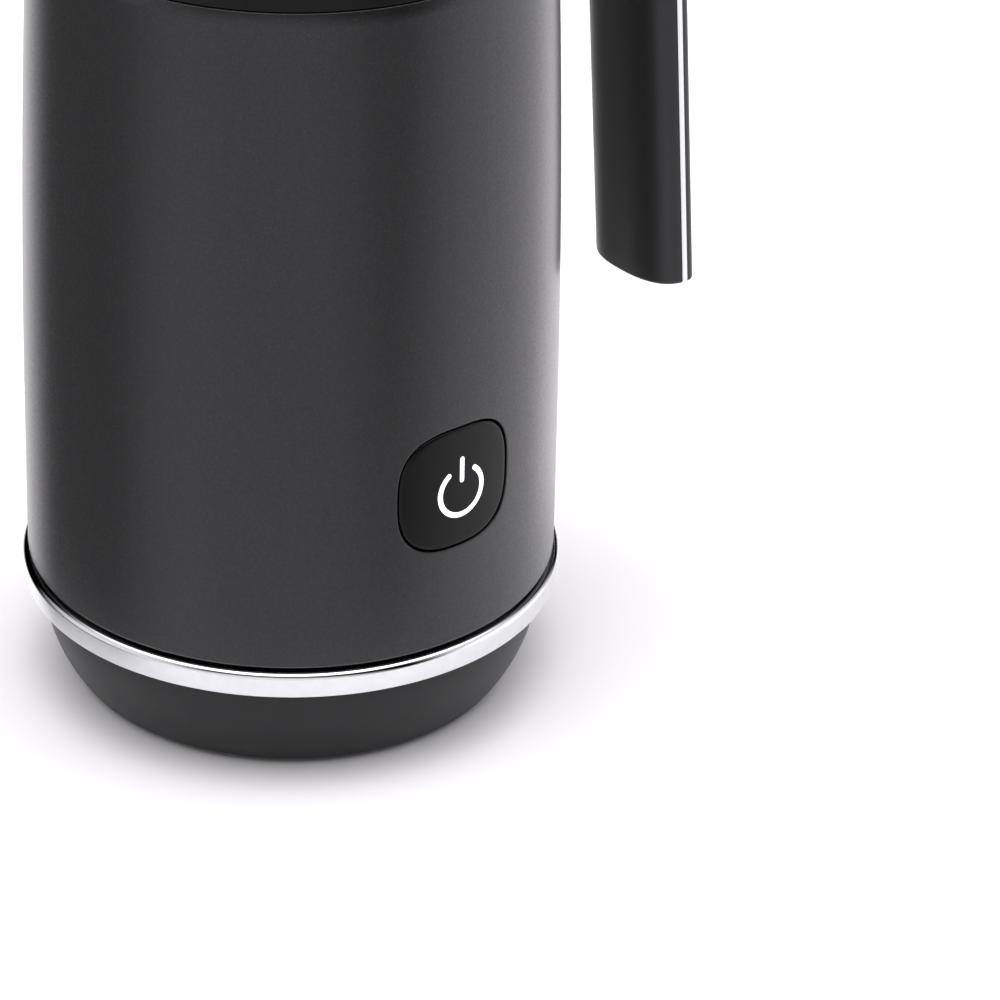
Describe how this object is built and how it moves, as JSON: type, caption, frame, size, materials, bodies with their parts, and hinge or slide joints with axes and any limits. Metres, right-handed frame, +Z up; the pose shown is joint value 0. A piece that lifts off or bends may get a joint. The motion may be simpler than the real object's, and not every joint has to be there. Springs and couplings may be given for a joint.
{
  "type": "milk frother",
  "caption": "Electric milk frother: a painted jug with a side handle, a lit push button and a magnetic whisk, on a round cordless power base with a bright ring.",
  "frame": {"origin": "on the whisk's axis at the level of the table, at the centre of the rubber foot ring", "axes": "+Z up along the jug's axis, -Y towards the power button, +X towards the handle, -X towards the spout"},
  "size_m": [0.1477, 0.103, 0.19],
  "materials": {
    "paint": "satin metallic paint",
    "black": "satin black",
    "gloss_black": "fine satin black",
    "chrome": "polished",
    "steel": "brushed",
    "brass": "plain",
    "rubber": "matt",
    "seal": "grey silicone",
    "pale_plastic": "plain",
    "heater": "anodised",
    "board": "green board",
    "components": "plain",
    "magnet": "nickel plated",
    "lit": "lit from behind",
    "smoked": "smoked clear"
  },
  "bodies": {
    "base": {"base_bowl": "black", "chrome_ring": "chrome", "base_deck": "black", "base_bottom_plate": "black", "foot_ring": "rubber", "base_connector": "black", "base_contacts": "brass", "cord_gland": "black", "cord_saddle": "black", "cord_clamp": "black", "clamp_screws": "steel", "base_screws": "steel"},
    "swivel": {"swivel_collar": "pale_plastic"},
    "jug": {"outer_shell": "paint", "top_collar": "gloss_black", "inner_vessel": "steel", "vessel_seal": "seal", "vessel_retainer": "black", "whisk_pivot": "steel", "heater_ring": "heater", "thermostat": "steel", "thermal_fuse": "brass", "motor_bracket": "pale_plastic", "motor_can": "steel", "motor_screws": "steel", "control_board": "board", "board_parts": "components", "tact_switch": "steel", "indicator_led": "lit", "button_bezel": "black", "bottom_cover": "black", "jug_socket": "black", "socket_contacts": "brass", "jug_screws": "steel", "handle_inner": "gloss_black", "handle_strip": "chrome", "handle_outer": "gloss_black", "handle_screws": "steel"},
    "button": {"power_button": "gloss_black", "power_symbol": "lit", "switch_plunger": "pale_plastic"},
    "rotor": {"motor_shaft": "steel", "magnet_carrier": "pale_plastic", "drive_magnets": "magnet"},
    "whisk": {"whisk_hub": "black", "whisk_magnets": "magnet", "whisk_stem": "black", "whisk_coil": "steel"},
    "lid": {"lid_cover": "gloss_black", "lid_plug": "gloss_black", "lid_window": "smoked", "lid_seal": "seal", "lid_knob": "chrome", "knob_nut": "steel"}
  },
  "joints": [
    {"name": "jug_swivel", "type": "hinge", "parent": "base", "child": "swivel", "pos_m": [0, 0, 0.02], "axis": [0, 0, 1], "continuous": true},
    {"name": "jug_lift", "type": "slide", "parent": "swivel", "child": "jug", "axis": [0, 0, 1], "range_m": [0, 0.05]},
    {"name": "lid_lift", "type": "slide", "parent": "jug", "child": "lid", "axis": [0, 0, 1], "range_m": [0, 0.045]},
    {"name": "power_press", "type": "slide", "parent": "jug", "child": "button", "axis": [0, 1, 0], "range_m": [0, 0.0012], "stiffness_N_per_m": 1500},
    {"name": "drive_spin", "type": "hinge", "parent": "jug", "child": "rotor", "pos_m": [0, 0, 0.06], "axis": [0, 0, 1], "continuous": true},
    {"name": "whisk_lift", "type": "slide", "parent": "rotor", "child": "whisk", "axis": [0, 0, 1], "range_m": [0, 0.03]}
  ]
}
